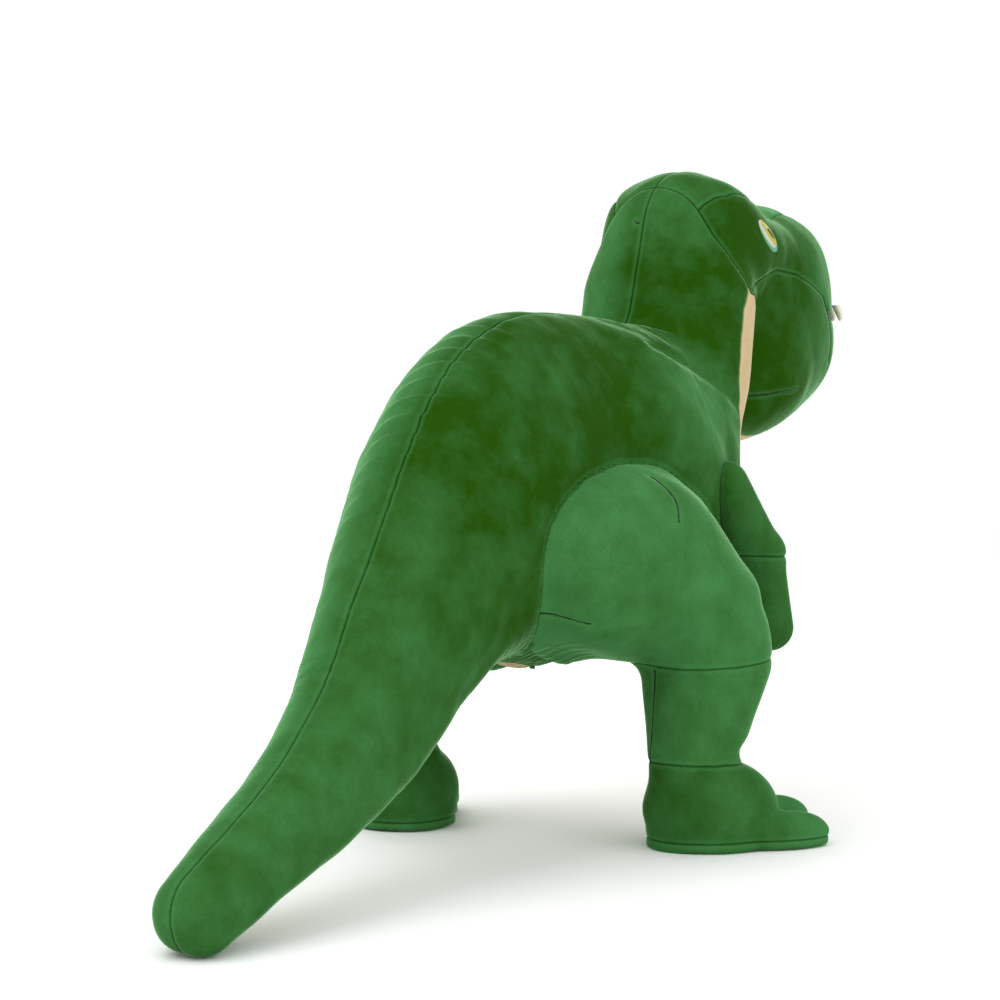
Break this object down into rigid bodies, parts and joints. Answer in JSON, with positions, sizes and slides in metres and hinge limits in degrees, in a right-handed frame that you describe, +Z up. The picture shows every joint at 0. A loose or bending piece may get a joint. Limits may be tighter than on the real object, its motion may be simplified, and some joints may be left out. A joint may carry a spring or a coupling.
{
  "type": "stuffed dinosaur",
  "caption": "Standing plush meat-eating dinosaur with stuffed tail, small arms, wide hind legs and a large head; head, arms and tail bend at soft seams.",
  "frame": {"origin": "on the floor under the middle of the whole toy's footprint, on its plane of symmetry", "axes": "+Z up, -Y towards the nose, +Y towards the tail, -X to the toy's right side"},
  "size_m": [0.3714, 0.9193, 0.5094],
  "materials": {
    "green_plush": "short pile velour, soft sheen",
    "tan_plush": "short pile velour, matt",
    "cream_felt": "pressed felt, matt",
    "mouth_cloth": "brushed cloth, matt",
    "white_thread": "satin stitch embroidery",
    "yellow_thread": "satin stitch embroidery",
    "black_thread": "satin stitch embroidery",
    "polyester_stuffing": "loose polyester fibre"
  },
  "bodies": {
    "trunk": {"flank_cover_right": "green_plush", "flank_cover_left": "green_plush", "belly_panel": "tan_plush", "trunk_stuffing": "polyester_stuffing", "thigh_cover_right": "green_plush", "thigh_cover_left": "green_plush", "thigh_stuffing_right": "polyester_stuffing", "thigh_stuffing_left": "polyester_stuffing", "shin_cover_right": "green_plush", "shin_cover_left": "green_plush", "foot_upper_right": "green_plush", "foot_upper_left": "green_plush", "foot_stuffing_right": "polyester_stuffing", "foot_stuffing_left": "polyester_stuffing", "sole_right": "green_plush", "sole_left": "green_plush"},
    "tail": {"tail_cover_right": "green_plush", "tail_cover_left": "green_plush", "tail_underside": "tan_plush", "tail_stuffing": "polyester_stuffing"},
    "head": {"nape_cover_right": "green_plush", "nape_cover_left": "green_plush", "face_panel_right": "green_plush", "face_panel_left": "green_plush", "jaw_cover_right": "green_plush", "jaw_cover_left": "green_plush", "snout_bridge": "green_plush", "chin_panel": "tan_plush", "mouth_lining": "mouth_cloth", "head_stuffing": "polyester_stuffing", "brow_right": "green_plush", "brow_left": "green_plush", "eye_white_right": "white_thread", "eye_white_left": "white_thread", "iris_right": "yellow_thread", "iris_left": "yellow_thread", "pupil_right": "black_thread", "pupil_left": "black_thread", "nostrils": "black_thread", "upper_teeth": "cream_felt"},
    "arm_right": {"upper_arm_cover_right": "green_plush", "forearm_cover_right": "green_plush", "arm_stuffing_right": "polyester_stuffing"},
    "arm_left": {"upper_arm_cover_left": "green_plush", "forearm_cover_left": "green_plush", "arm_stuffing_left": "polyester_stuffing"}
  },
  "joints": [
    {"name": "tail_swing", "type": "hinge", "parent": "trunk", "child": "tail", "pos_m": [0, 0.215, 0.15], "axis": [0, 0, 1], "range_deg": [-14, 14], "stiffness_Nm_per_rad": 0.8},
    {"name": "head_turn", "type": "hinge", "parent": "trunk", "child": "head", "pos_m": [0, -0.185, 0.388], "axis": [0, 0, 1], "range_deg": [-18, 18], "stiffness_Nm_per_rad": 1},
    {"name": "arm_right_swing", "type": "hinge", "parent": "trunk", "child": "arm_right", "pos_m": [-0.088, -0.105, 0.258], "axis": [-1, 0, 0], "range_deg": [-15, 40], "stiffness_Nm_per_rad": 0.5},
    {"name": "arm_left_swing", "type": "hinge", "parent": "trunk", "child": "arm_left", "pos_m": [0.088, -0.105, 0.258], "axis": [-1, 0, 0], "range_deg": [-15, 40], "stiffness_Nm_per_rad": 0.5}
  ]
}
